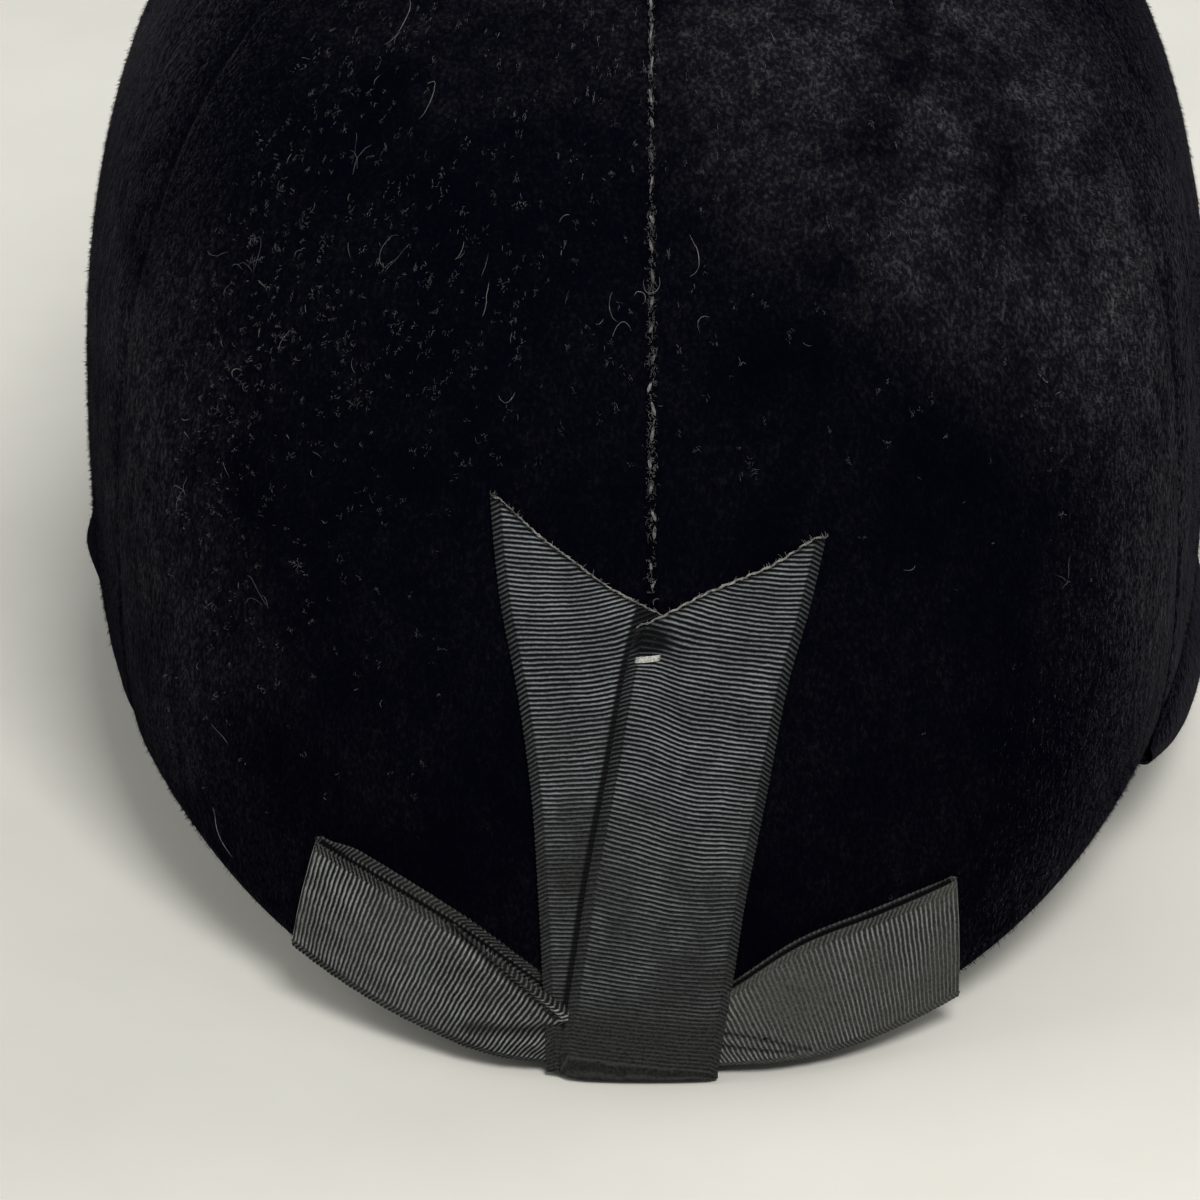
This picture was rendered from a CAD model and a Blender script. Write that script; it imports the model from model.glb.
# %% [markdown]
# # A velvet riding hat
#
# This lesson dresses a riding hat of the kind called a hunt cap. The real hat is a hard hollow
# shell. Six pieces of black velvet are sewn together and stretched over it, a covered button sits
# where their seams meet, and a stiff peak stands out over the brow. A flat bow of ribbed ribbon is
# sewn to the back of the rim.
#
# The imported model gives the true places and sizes, so every piece here is laid on it. The tables
# hold millimetres. A mesh is turned into metres in one place, so no other line has to think of it.

import math

import bpy
import numpy as np
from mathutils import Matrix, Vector, noise


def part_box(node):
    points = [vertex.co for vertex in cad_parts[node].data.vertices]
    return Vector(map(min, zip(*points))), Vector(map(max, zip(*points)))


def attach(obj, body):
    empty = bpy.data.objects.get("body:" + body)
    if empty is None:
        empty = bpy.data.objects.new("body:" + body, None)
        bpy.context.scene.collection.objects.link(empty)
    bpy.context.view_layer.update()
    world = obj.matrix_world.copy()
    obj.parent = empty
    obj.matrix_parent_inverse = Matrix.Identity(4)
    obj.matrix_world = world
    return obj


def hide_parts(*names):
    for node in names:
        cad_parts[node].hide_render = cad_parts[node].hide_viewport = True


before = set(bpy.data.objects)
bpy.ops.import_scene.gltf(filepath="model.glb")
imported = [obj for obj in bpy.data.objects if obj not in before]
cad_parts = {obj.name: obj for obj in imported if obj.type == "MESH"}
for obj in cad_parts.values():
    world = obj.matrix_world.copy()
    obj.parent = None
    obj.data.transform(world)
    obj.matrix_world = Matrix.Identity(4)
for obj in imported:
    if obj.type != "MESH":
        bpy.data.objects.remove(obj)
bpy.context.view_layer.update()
chance = np.random.default_rng(8)
print("solids in the packed hat:", len(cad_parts))

# %% [markdown]
# ## Where the crown stands
#
# Every piece is built round the crown's upright axis. The button sits on that axis, so the middle
# of its box gives the axis without a number of its own. Beginners often type such a number twice,
# and the two soon differ.

# %% Find the crown's axis
MILLIMETRE = 0.001
button_low, button_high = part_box("top_button")
AXIS = np.array([(button_low[0] + button_high[0]) / 2, (button_low[1] + button_high[1]) / 2, 0.0])


def in_metres(points):
    """Turn places in millimetres from the crown's axis into the hat's own metres."""
    return np.asarray(points) * MILLIMETRE + AXIS


def add_object(name, data):
    thing = bpy.data.objects.new(name, data)
    bpy.context.collection.objects.link(thing)
    return thing


print("crown axis at", AXIS.round(4))

# %% [markdown]
# ## The camera
#
# The hat is seen from behind and a little above, through a long lens, so its far side hardly looks
# smaller than its near side. The camera looks 29 degrees down. A long lens needs no shift, and the
# view stays simple to turn for the other sides.

# %% Camera
CAMERA_PLACE = (7.9, 874.6, 512.0)
LOOKING_DOWN = 29.0
LENS = 172.3

camera_data = bpy.data.cameras.new("camera")
camera_data.lens = LENS
camera_data.sensor_width = 36.0
camera_data.clip_start = 0.01
camera = add_object("camera", camera_data)
camera.location = in_metres(CAMERA_PLACE)
tilt = math.radians(LOOKING_DOWN)
towards_camera = Vector((0.0, math.cos(tilt), math.sin(tilt)))
camera.rotation_euler = (-towards_camera).to_track_quat("-Z", "Y").to_euler()
bpy.context.scene.camera = camera
print("camera height above the table in mm:", round(camera.location.z / MILLIMETRE))

# %% [markdown]
# ## Light for black velvet
#
# Velvet swallows light that falls straight on it and shines where light grazes its pile. So the
# studio has one broad light high on the right that skims the crown, a weaker one on the left that
# draws the other edge, and a soft sky that keeps the ribbon's ribs readable. A last weak one from
# the front keeps the peak from drowning when the hat is turned.

# %% Lights and sky
LIGHTS = [
    {"name": "key", "place": (-240, 1050, 1300), "size": 0.45, "watts": 23.0},
    {"name": "right edge", "place": (-1200, -500, 800), "size": 0.8, "watts": 9.0},
    {"name": "left fill", "place": (1300, 100, 900), "size": 1.2, "watts": 11.0},
    {"name": "front fill", "place": (-500, -1300, 700), "size": 1.2, "watts": 4.5},
]
LIGHT_COLOR = (1.0, 0.985, 0.96)
SKY_STRENGTH = 0.30
CROWN_MIDDLE = in_metres((0, 0, 90))

for row in LIGHTS:
    light_data = bpy.data.lights.new(row["name"], "AREA")
    light_data.size = row["size"]
    light_data.energy = row["watts"]
    light_data.color = LIGHT_COLOR
    light = add_object(row["name"], light_data)
    light.location = in_metres(row["place"])
    light.rotation_euler = (Vector(CROWN_MIDDLE) - light.location).to_track_quat("-Z", "Y").to_euler()

sky = bpy.data.worlds.new("studio sky")
sky.use_nodes = True
backdrop = sky.node_tree.nodes["Background"]
backdrop.inputs["Color"].default_value = (0.97, 0.98, 1.0, 1)
backdrop.inputs["Strength"].default_value = SKY_STRENGTH
bpy.context.scene.world = sky
bpy.context.scene.view_settings.view_transform = "Standard"
print("lights:", [row["name"] for row in LIGHTS])

# %% [markdown]
# ## Small helpers for materials
#
# Each finish is a tree of nodes. A few helpers keep the trees short. Sum is the one to remember: it
# wraps a node's output so that it can be added and multiplied like a plain number, and each sign
# becomes a Math node. Noise takes object coordinates and not UVs, because its grain then has the
# same real size on every piece.

# %% Node helpers


class Sum:
    """A node's output that can be used in sums."""

    def __init__(self, tree, output):
        self.tree, self.output = tree, output

    def __add__(self, other):
        return maths(self.tree, "ADD", self, other)

    def __sub__(self, other):
        return maths(self.tree, "SUBTRACT", self, other)

    def __rsub__(self, other):
        return maths(self.tree, "SUBTRACT", other, self)

    def __mul__(self, other):
        return maths(self.tree, "MULTIPLY", self, other)


def join(tree, value, socket):
    """Give a socket a number, a colour or another node's output."""
    if isinstance(value, Sum):
        tree.links.new(value.output, socket)
    elif isinstance(value, bpy.types.NodeSocket):
        tree.links.new(value, socket)
    elif socket.type == "RGBA":
        socket.default_value = (*value, 1)
    else:
        socket.default_value = value


def add_node(tree, kind, settings=(), **sockets):
    """Add a node, set what it does and fill its sockets."""
    node = tree.nodes.new(kind)
    for setting, value in dict(settings).items():
        setattr(node, setting, value)
    for socket, value in sockets.items():
        join(tree, value, node.inputs[socket.replace("_", " ")])
    return node


def maths(tree, operation, first, second=0.0):
    node = add_node(tree, "ShaderNodeMath", {"operation": operation})
    join(tree, first, node.inputs[0])
    join(tree, second, node.inputs[1])
    return Sum(tree, node.outputs[0])


def new_finish(name, color, roughness, **sockets):
    """Start a material and give back its tree and its shader."""
    finish = bpy.data.materials.new(name)
    finish.use_nodes = True
    shader = finish.node_tree.nodes["Principled BSDF"]
    sockets = {"Base_Color": color, "Roughness": roughness, **sockets}
    for socket, value in sockets.items():
        join(finish.node_tree, value, shader.inputs[socket.replace("_", " ")])
    return finish, finish.node_tree, shader


def object_place(tree):
    return tree.nodes.new("ShaderNodeTexCoord").outputs["Object"]


def grain(tree, millimetres, detail=3.0, where=None, roughness=0.55):
    """A noise whose lumps are about the given size."""
    node = add_node(tree, "ShaderNodeTexNoise", Vector=where or object_place(tree), Detail=detail,
                    Roughness=roughness, Scale=1 / (millimetres * MILLIMETRE))
    return Sum(tree, node.outputs["Fac"])


def spread(tree, value, low, high, start=0.0, end=1.0, shape="SMOOTHSTEP"):
    """Turn the range from low to high into the range from start to end."""
    node = add_node(tree, "ShaderNodeMapRange", {"interpolation_type": shape}, Value=value, From_Min=low,
                    From_Max=high, To_Min=start, To_Max=end)
    return Sum(tree, node.outputs["Result"])


def ramp(tree, value, stops):
    """Turn a number into a colour by a table of position and colour."""
    node = add_node(tree, "ShaderNodeValToRGB", Fac=value)
    steps = node.color_ramp.elements
    while len(steps) < len(stops):
        steps.new(0.5)
    for step, (position, color) in zip(steps, stops):
        step.position, step.color = position, (*color, 1)
    return Sum(tree, node.outputs["Color"])


def bumps(tree, shader, height, millimetres, strength):
    """Raise the surface by a height map, in real millimetres."""
    node = add_node(tree, "ShaderNodeBump", Height=height, Strength=strength,
                    Distance=millimetres * MILLIMETRE)
    join(tree, node.outputs["Normal"], shader.inputs["Normal"])


# %% [markdown]
# ## The table top
#
# The hat stands on a plain pale table, rim down. The table is stage, so it isn't part of the hat.
# A faint mottle keeps it from looking like a flat colour, and nothing more is asked of it.

# %% Table
HALF_TABLE = 4.0
table_finish, tree, shader = new_finish("pale table", (0.60, 0.595, 0.545), 0.8)
mottle = ramp(tree, grain(tree, 40, 4), [(0.3, (0.585, 0.58, 0.53)), (0.7, (0.615, 0.61, 0.56))])
join(tree, mottle, shader.inputs["Base Color"])
bumps(tree, shader, grain(tree, 1.2), 0.05, 0.4)

table_mesh = bpy.data.meshes.new("table")
corners = [(x * HALF_TABLE, y * HALF_TABLE, 0) for x, y in ((-1, -1), (1, -1), (1, 1), (-1, 1))]
table_mesh.from_pydata(corners, [], [(0, 1, 2, 3)])
table_mesh.materials.append(table_finish)
add_object("table", table_mesh)
print("table is", 2 * HALF_TABLE, "m across")

# %% [markdown]
# ## From numbers to a mesh
#
# Cloth is easiest to describe as a grid: rows up the hat, columns round it. These helpers turn such
# a grid into faces, hang the result on the hat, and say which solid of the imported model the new
# piece stands for. Faces are shaded smooth, since cloth has no corners of its own.

# %% Mesh helpers


def grid_faces(rows, columns, ring=False):
    """The four-sided faces of a grid of points, closed round if ring is set."""
    row, column = np.meshgrid(np.arange(rows - 1), np.arange(columns - (0 if ring else 1)), indexing="ij")
    after = (column + 1) % columns
    corners = [row * columns + column, row * columns + after]
    corners += [(row + 1) * columns + after, (row + 1) * columns + column]
    return np.stack([corner.ravel() for corner in corners], axis=1)


def make_piece(name, points, faces, finish, replaces=(), smooth=True, maps=()):
    """A piece from places in millimetres and its faces.

    Faces are an array with a row for each face, or a list of such arrays, one for triangles and one
    for four-sided faces. Maps are numbers that each point carries for the finish.
    """
    groups = faces if isinstance(faces, list) else [faces]
    corners = np.concatenate([group.ravel() for group in groups]).astype(np.int32)
    sizes = np.concatenate([np.full(len(group), group.shape[1]) for group in groups])
    places = in_metres(np.asarray(points).reshape(-1, 3)).astype(np.float32)
    mesh = bpy.data.meshes.new(name)
    mesh.vertices.add(len(places))
    mesh.vertices.foreach_set("co", places.ravel())
    mesh.loops.add(len(corners))
    mesh.loops.foreach_set("vertex_index", corners)
    mesh.polygons.add(len(sizes))
    mesh.polygons.foreach_set("loop_start", (np.cumsum(sizes) - sizes).astype(np.int32))
    mesh.update(calc_edges=True)
    for title, values in dict(maps).items():
        layer = mesh.uv_layers.new(name=title)
        layer.data.foreach_set("uv", np.asarray(values, dtype=np.float32)[corners].ravel())
    mesh.polygons.foreach_set("use_smooth", np.full(len(sizes), smooth))
    mesh.materials.append(finish)
    piece = add_object(name, mesh)
    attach(piece, "root")
    if replaces:
        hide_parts(*replaces)
    return piece


# %% [markdown]
# ## The shape of the crown
#
# The shell is moulded. From above it is a soft oval, a little longer in front than behind. From
# the side its wall rises almost straight to the widest line and then closes in a dome. Both are
# superellipses: an ellipse whose power says how square its shoulders are. The rim is a second
# oval, level at the back and arched over the ears.

# %% Crown shape
CROWN = {"half_width": 94.2, "back": 109.0, "front": 115.0, "power": 2.3}
RIM = {"half_width": 93.4, "back": 108.0, "front": 113.0, "power": 2.15}
APEX = 176.0
EQUATOR = {"back": 30.0, "side": 62.0, "front": 60.0}
DOME_POWER = {"back": 2.0, "side": 2.8, "front": 2.3}
EAR_HEIGHT, BROW_HEIGHT, ARCH_POWER, FLAT_CUT = 39.6, 45.0, 1.95, 0.35


def unit(vectors):
    return vectors / np.maximum(np.linalg.norm(vectors, axis=-1, keepdims=True), 1e-9)


def oval(turn, half_width, back, front, power):
    """Distance from the axis to an oval, by the turn from the centre back."""
    length = np.where(np.cos(turn) > 0, back, front)
    across = np.abs(np.sin(turn) / half_width) ** power
    along = np.abs(np.cos(turn) / length) ** power
    return (across + along) ** (-1 / power)


def round_plan(values, turn):
    """A value given for the back, the sides and the front, eased round the hat."""
    end = np.where(np.cos(turn) > 0, values["back"], values["front"])
    return end + (values["side"] - end) * np.sin(turn) ** 2


def rim_height(turn):
    sine = np.abs(np.sin(turn))
    back = np.maximum(0, EAR_HEIGHT * sine**ARCH_POWER - FLAT_CUT)
    front = BROW_HEIGHT + (EAR_HEIGHT - FLAT_CUT - BROW_HEIGHT) * sine**2
    return np.where(np.cos(turn) > 0, back, front)


def ring_point(turn, radius, height):
    turn, radius, height = np.broadcast_arrays(turn, radius, height)
    return np.stack([radius * np.sin(turn), radius * np.cos(turn), height], axis=-1)


def crown_at_height(turn, height):
    """A place on the crown by turn and height. Below the rim it goes straight down."""
    radius, low = oval(turn, **CROWN), rim_height(turn)
    equator, power = round_plan(EQUATOR, turn), round_plan(DOME_POWER, turn)
    share = np.clip((equator - height) / (equator - low), 0, 1)
    wall = radius - (radius - oval(turn, **RIM)) * share**2
    rise = np.clip((height - equator) / (APEX - equator), 0, 1)
    dome = radius * (1 - rise**power) ** (1 / power)
    return ring_point(turn, np.where(height < equator, wall, dome), height)


def crown_at_level(turn, level):
    """A place on the crown by turn and level: 0 at the widest line, 1 at the very top."""
    radius = oval(turn, **CROWN)
    equator, power = round_plan(EQUATOR, turn), round_plan(DOME_POWER, turn)
    cosine, sine = np.cos(level * np.pi / 2), np.sin(level * np.pi / 2)
    stretch = (np.abs(cosine) ** power + np.abs(sine) ** power) ** (-1 / power)
    height = equator + (APEX - equator) * sine * stretch
    return ring_point(turn, radius * cosine * stretch, height)


def outward(place, turn, up, step):
    """The direction square to a surface, out of the hat."""
    along = place(turn + 1e-3, up) - place(turn - 1e-3, up)
    rise = place(turn, up + step) - place(turn, up - step)
    return unit(np.cross(rise, along))


def crown_rows(turn, start, wall_shares, dome_levels):
    """Rows of places up the wall from a start height and over the dome, and the ways out of them."""
    equator = round_plan(EQUATOR, turn)
    rows = [(crown_at_height, start + (equator - start) * share, 0.05) for share in wall_shares]
    rows += [(crown_at_level, np.full_like(turn, level), 1e-3) for level in dome_levels]
    places = np.array([place(turn, up) for place, up, step in rows])
    return places, np.array([outward(place, turn, up, step) for place, up, step in rows])


print("crown over the velvet in mm:", 2 * CROWN["half_width"], "by", CROWN["back"] + CROWN["front"])

# %% [markdown]
# ## Velvet
#
# Velvet is a woven ground with a standing pile. Seen from above the pile it is almost black, and
# at a grazing angle the tips catch light. The sheen of the shader does that. The pile is never
# even: it parts in small lumps and carries dust, so three noises of different size vary the
# colour, and two of them raise the surface. The colour stays very dark, because a black that is
# too light is the commonest fault in rendered velvet.

# %% Velvet finish
VELVET_SHEEN = {"Sheen_Weight": 0.085, "Sheen_Roughness": 0.2, "Specular_IOR_Level": 0.0}
PILE_DRAWN_OUT = (1.0, 1.0, 0.55)
RUBBED = [
    # across, height, radius, strength: where hands have brushed the pile up
    (-62, 150, 52, 1.3), (-84, 118, 44, 0.8), (-40, 172, 40, 0.7), (78, 60, 40, 0.35),
    (100, 95, 46, 0.5), (46, 165, 44, 0.35), (-88, 66, 42, 0.4),
    (150, 130, 60, 0.45), (-165, 95, 60, 0.5), (235, 110, 55, 0.4), (-250, 150, 50, 0.45),
]


def rubbed_share(tree, where):
    """How much the pile is brushed at a place: most in the middle of a rubbed patch, 0 outside."""
    total = 0.0
    for across, height, radius, strength in RUBBED:
        spot = crown_at_height(np.array(across / CROWN["half_width"]), np.array(float(height)))
        apart = add_node(tree, "ShaderNodeVectorMath", {"operation": "DISTANCE"}, Vector=where)
        apart.inputs[1].default_value = tuple(in_metres(spot))
        total = spread(tree, apart.outputs["Value"], 0.0, radius * MILLIMETRE, strength, 0.0) + total
    return total


def velvet(name, dark, light, sheen_tint, relief):
    """Velvet, dark where the pile stands and lighter where it is brushed. The relief is in mm."""
    finish, tree, shader = new_finish(name, dark, 0.9, Sheen_Tint=sheen_tint, **VELVET_SHEEN)
    where = object_place(tree)
    combed = add_node(tree, "ShaderNodeVectorMath", {"operation": "MULTIPLY"}, Vector=where)
    combed.inputs[1].default_value = PILE_DRAWN_OUT
    combed = combed.outputs["Vector"]
    swirls = spread(tree, grain(tree, 24, 5, where, 0.62), 0.24, 0.68)
    clumps = spread(tree, grain(tree, 3.0, 4, combed, 0.7), 0.36, 0.72)
    tips = spread(tree, grain(tree, 0.62, 3, combed, 0.6), 0.42, 0.76)
    brushed = swirls * (rubbed_share(tree, where) + 0.07)
    amount = (clumps * 0.6 + 0.4) * (tips * 0.85 + 0.15) * brushed
    join(tree, ramp(tree, amount, [(0.0, dark), (0.55, light)]), shader.inputs["Base Color"])
    if relief:
        bumps(tree, shader, tips * 0.5 + clumps, relief, 0.8)
    return finish


ground_finish = velvet("velvet ground", (0.0007, 0.0008, 0.0026), (0.044, 0.043, 0.047),
                       (0.42, 0.40, 0.44), 0.35)
pile_finish = velvet("velvet pile", (0.0009, 0.0010, 0.0029), (0.095, 0.092, 0.098),
                     (0.46, 0.44, 0.47), 0)
print("velvet finishes ready")

# %% [markdown]
# ## The six velvet panels
#
# Each panel is one gore of cloth. It is sewn to its neighbours, drawn over the shell and turned in
# under the rim. A flat cloth could be draped by simulation, but this velvet is glued and stretched
# over a hard form and can't hang, so its shape is known: it is the crown's. The grid is dense
# beside the seams, where the cloth rolls down into them, and open in the middle.

# %% Panel grids
SEAM_SPAN = math.radians(60)
PANEL_NAMES = ["back_left", "side_left", "front_left", "front_right", "side_right", "back_right"]
PANEL_COLUMNS, WALL_ROWS, DOME_ROWS = 84, 16, 92
SEAM = {"depth": 0.75, "side_share": 0.55, "width": 0.75, "slope": 0.25, "reach": 3.5}
CLOTH_LUMPS = [(38, 0.35), (4, 0.10)]  # size, height
HOLE_LEVEL, WIDEST_ROW = 0.972, 20

# The velvet's way round the rim, from its glued edge inside to the wall outside: how far in from
# the outside it lies, and how far above the shell's own rim.
HEM = [(5.4, 11.0), (5.4, 7.0), (5.35, 3.6), (5.0, 1.9), (4.1, 1.15), (3.0, 0.85), (1.9, 0.85)]
HEM += [(0.95, 1.1), (0.35, 1.7), (0.08, 2.5)]


def seam_spread(count):
    """Shares from 0 to 1 that crowd together at both ends."""
    even = np.linspace(0, 1, count)
    return even - 0.86 * np.sin(2 * np.pi * even) / (2 * np.pi)


def unevenness(points, millimetres):
    """A gentle random height for each place, with lumps of the given size."""
    values = [noise.noise(Vector(place)) for place in points.reshape(-1, 3) / millimetres]
    return np.array(values).reshape(points.shape[:-1])


def panel_grid(index):
    share = seam_spread(PANEL_COLUMNS)
    turn = (index + share) * SEAM_SPAN
    low, radius = rim_height(turn), oval(turn, **RIM)
    hem = [ring_point(turn, radius - depth, low + height) for depth, height in HEM]
    wall, way = crown_rows(turn, low + HEM[-1][1], np.arange(1, WALL_ROWS + 1) / WALL_ROWS,
                           HOLE_LEVEL * np.arange(1, DOME_ROWS + 1) / DOME_ROWS)
    gap = np.minimum(share, 1 - share) * SEAM_SPAN * np.hypot(wall[..., 0], wall[..., 1])
    at_back_or_front = np.abs(np.sin(turn)) < 0.3
    depth = SEAM["depth"] * np.where(at_back_or_front, 1.0, SEAM["side_share"])
    dip = depth * np.exp(-((gap / SEAM["width"]) ** 2))
    dip += SEAM["slope"] * np.exp(-((gap / SEAM["reach"]) ** 2))
    relief = sum(height * unevenness(wall, lump) for lump, height in CLOTH_LUMPS)
    return np.concatenate([np.array(hem), wall + way * (relief - dip)[..., None]])


def patch_area(grid):
    first = grid[1:, :-1] - grid[:-1, :-1]
    second = grid[:-1, 1:] - grid[:-1, :-1]
    return np.linalg.norm(np.cross(first, second), axis=-1)


def line_length(places):
    return np.linalg.norm(np.diff(places, axis=0), axis=1).sum()


panel_grids = {}
for index, name in enumerate(PANEL_NAMES):
    grid = panel_grids[name] = panel_grid(index)
    faces = grid_faces(*grid.shape[:2])[:, ::-1]
    piece = make_piece(f"velvet_{name}", grid, faces, ground_finish, [f"crown_panel_{name}"])
    area = patch_area(grid).sum()
    length, width = line_length(grid[:, PANEL_COLUMNS // 2]), line_length(grid[WIDEST_ROW])
    print(name, "cut about", round(width), "by", round(length), "mm, area", round(area / 100), "cm2")

# %% [markdown]
# ## The pile
#
# Bump alone leaves the velvet's outline clean like plastic. On the real hat the outline is soft,
# because short fibres stand along it, and the surface is a field of leaning tips. Particle hair
# would do, but it isn't mesh and is lost when the model is saved. So the pile is made as thin
# triangles, rooted in the ground cloth and brushed down the hat, with slow swirls where a hand has
# rubbed it. They are drawn from one seeded random source, so the pile is the same every time.

# %% Pile fibres
PILE = {"length": 1.25, "width": 0.17, "lean": math.radians(62), "swirl": 1.8, "root": 0.25}
PILE_SEEN, PILE_ELSEWHERE = 84000, 38000
FIRST_PILE_ROW = 7
HAT_MIDDLE = np.array([0, 0, 60])


def scatter_on(grid, count):
    """Random places spread evenly over a grid, with the ways out of it and down it."""
    area = patch_area(grid).ravel()
    pick = chance.choice(area.size, count, p=area / area.sum())
    row, column = np.divmod(pick, grid.shape[1] - 1)
    across, up = chance.random((2, count, 1))
    low = grid[row, column] * (1 - across) + grid[row, column + 1] * across
    high = grid[row + 1, column] * (1 - across) + grid[row + 1, column + 1] * across
    place = low * (1 - up) + high * up
    side = unit(grid[row, column + 1] - grid[row, column])
    down = unit(low - high)
    way = unit(np.cross(down, side))
    way *= np.sign((way * (place - HAT_MIDDLE)).sum(axis=1, keepdims=True))
    return place, way, down


def pile_points(place, way, down, length, width, lean):
    """Three corners for each fibre: two at its root and one at its tip."""
    count = len(place)
    side = np.cross(way, down)
    swirl = PILE["swirl"] * unevenness(place, 26) + chance.normal(0, 0.38, count)
    lean = lean + chance.normal(0, 0.2, count)
    comb = down * np.cos(swirl)[:, None] + side * np.sin(swirl)[:, None]
    fibre = way * np.cos(lean)[:, None] + comb * np.sin(lean)[:, None]
    thin = unit(np.cross(fibre, way)) * width / 2
    root = place - way * PILE["root"]
    tip = root + fibre * (length * chance.uniform(0.75, 1.25, count))[:, None]
    return np.stack([root - thin, root + thin, tip], axis=1).reshape(-1, 3)


def pile_piece(name, points):
    make_piece(name, points, np.arange(len(points)).reshape(-1, 3), pile_finish, smooth=False)


for name in PANEL_NAMES:
    count = PILE_SEEN if name.startswith("back") else PILE_ELSEWHERE
    spots = scatter_on(panel_grids[name][FIRST_PILE_ROW:], count)
    pile_piece(f"pile_{name}", pile_points(*spots, PILE["length"], PILE["width"], PILE["lean"]))
    print("pile on", name, count, "fibres")

# %% [markdown]
# ## The hollow shell
#
# Under the velvet is the moulded shell. Only its inside shows, when the hat is turned over. It is
# one smooth wall, rounded along its lip, and the velvet's edge is glued over that lip. The packed
# solid is faceted, so a finer wall takes its place.

# %% Shell
SHELL = {"outside": 1.4, "inside": 4.3, "lip": 2.0, "turns": 144, "wall": 9, "dome": 40, "top": 0.985}
shell_finish, tree, shader = new_finish("moulded shell", (0.012, 0.012, 0.0135), 0.6)
fibre = grain(tree, 1.5, 5)
matt = ramp(tree, fibre, [(0.3, (0.009, 0.009, 0.010)), (0.7, (0.017, 0.017, 0.019))])
join(tree, matt, shader.inputs["Base Color"])
bumps(tree, shader, fibre, 0.15, 0.6)

turn = np.linspace(0, 2 * np.pi, SHELL["turns"], endpoint=False)
places, ways = crown_rows(turn, rim_height(turn) + SHELL["lip"], np.linspace(0, 1, SHELL["wall"]),
                          SHELL["top"] * np.arange(1, SHELL["dome"] + 1) / SHELL["dome"])
outside, inside = (places - ways * SHELL[side] for side in ("outside", "inside"))
shell_grid = np.concatenate([outside[::-1], inside])
tops = [(0, 0, APEX - SHELL[side]) for side in ("outside", "inside")]
shell_points = np.concatenate([shell_grid.reshape(-1, 3), tops])

# Each wall ends in a small ring at the top. A fan of triangles closes it.
here = np.arange(SHELL["turns"])
after = (here + 1) % SHELL["turns"]
outer_top, inner_top = len(shell_points) - 2, len(shell_points) - 1
inner_ring = outer_top - SHELL["turns"]
fans = [np.stack([np.full_like(here, outer_top), after, here], axis=1)]
fans += [np.stack([np.full_like(here, inner_top), inner_ring + here, inner_ring + after], axis=1)]
faces = [grid_faces(*shell_grid.shape[:2], ring=True), *fans]
make_piece("shell_wall", shell_points, faces, shell_finish, ["shell"])
print("shell wall in mm:", SHELL["inside"] - SHELL["outside"])

# %% [markdown]
# ## The covered button
#
# A round of velvet is gathered over a small domed form and sewn down where the six seams meet. Its
# gathers run from the edge towards the middle and die out near the top. It is a lathe shape, so
# its rows are rings, and the gathers are a small wave in their radius.

# %% Button
BUTTON = {"radius": 9.0, "height": 5.0, "gathers": 15, "turned_under": 0.28, "drawn_in": 1.2,
          "pile": 0.9, "fibres": 4200}
turn = np.linspace(0, 2 * np.pi, 120, endpoint=False)
rows = []
for share in np.linspace(0, 1, 26):
    angle = share * np.pi / 2 * (1 + BUTTON["turned_under"]) - BUTTON["turned_under"] * np.pi / 2
    drawn_in = BUTTON["drawn_in"] * share**6 if angle < 0 else 0
    radius = BUTTON["radius"] * max(0.02, math.cos(angle)) ** 0.8 - drawn_in
    wave = 0.16 * np.sin(BUTTON["gathers"] * turn + 1.3 * np.sin(2 * turn)) * (1 - share) ** 1.5
    rows.append(ring_point(turn, radius + wave, APEX + 1.0 + BUTTON["height"] * math.sin(angle)))
grid = np.array(rows)
make_piece("velvet_button", grid, grid_faces(*grid.shape[:2], ring=True), ground_finish, ["top_button"])
closed = np.concatenate([grid, grid[:, :1]], axis=1)[4:]
spots = scatter_on(closed, BUTTON["fibres"])
pile_piece("pile_button", pile_points(*spots, BUTTON["pile"], PILE["width"], PILE["lean"]))
print("button top in mm:", round(float(grid[..., 2].max()), 1))

# %% [markdown]
# ## The peak
#
# The peak is a stiff board that bends round the brow. Its ends run out along the rim over the
# ears: the left end is drawn tight, the right end hangs a little. One section of it is a shallow
# arc from the rim to the edge, where the velvet rolls over the board and under it.
#
# The table has one row for each place where the edge changes. The turn is measured from the centre
# front towards the wearer's left, reach is how far the edge stands out from the rim, and height is
# its lowest point above the table.

# %% Peak sections
PEAK_EDGE = np.array([
    # turn, reach, height
    (-122, 0.0, 24.5), (-112, 0.0, 19.5), (-100, 1.0, 14.0), (-90, 3.0, 9.0), (-80, 5.4, 5.0),
    (-68, 9.2, 2.0), (-54, 17.0, 0.3), (-38, 30.0, 0.0), (-20, 44.0, 6.0), (0, 50.0, 9.5),
    (20, 44.0, 6.5), (38, 30.0, 0.0), (54, 17.0, 8.0), (68, 10.4, 19.0), (80, 6.2, 26.5),
    (90, 2.8, 32.0), (98, 0.1, 35.5),
])
PEAK = {"columns": 180, "rows": 26, "lip": 4.2, "bulge": 0.1, "pile": 0.9, "fibres": 40000}

# Steps out and up from the root. They go in under the crown's velvet, so that no light comes through.
PEAK_TUCK = [(-2.2, 2.6), (-0.9, 2.4), (0.35, 1.9)]
PEAK_UNDERSIDE = [(0.03, 4.2), (0.06, 4.2), (0.075, 3.3)]  # share back from the edge, depth


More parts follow.
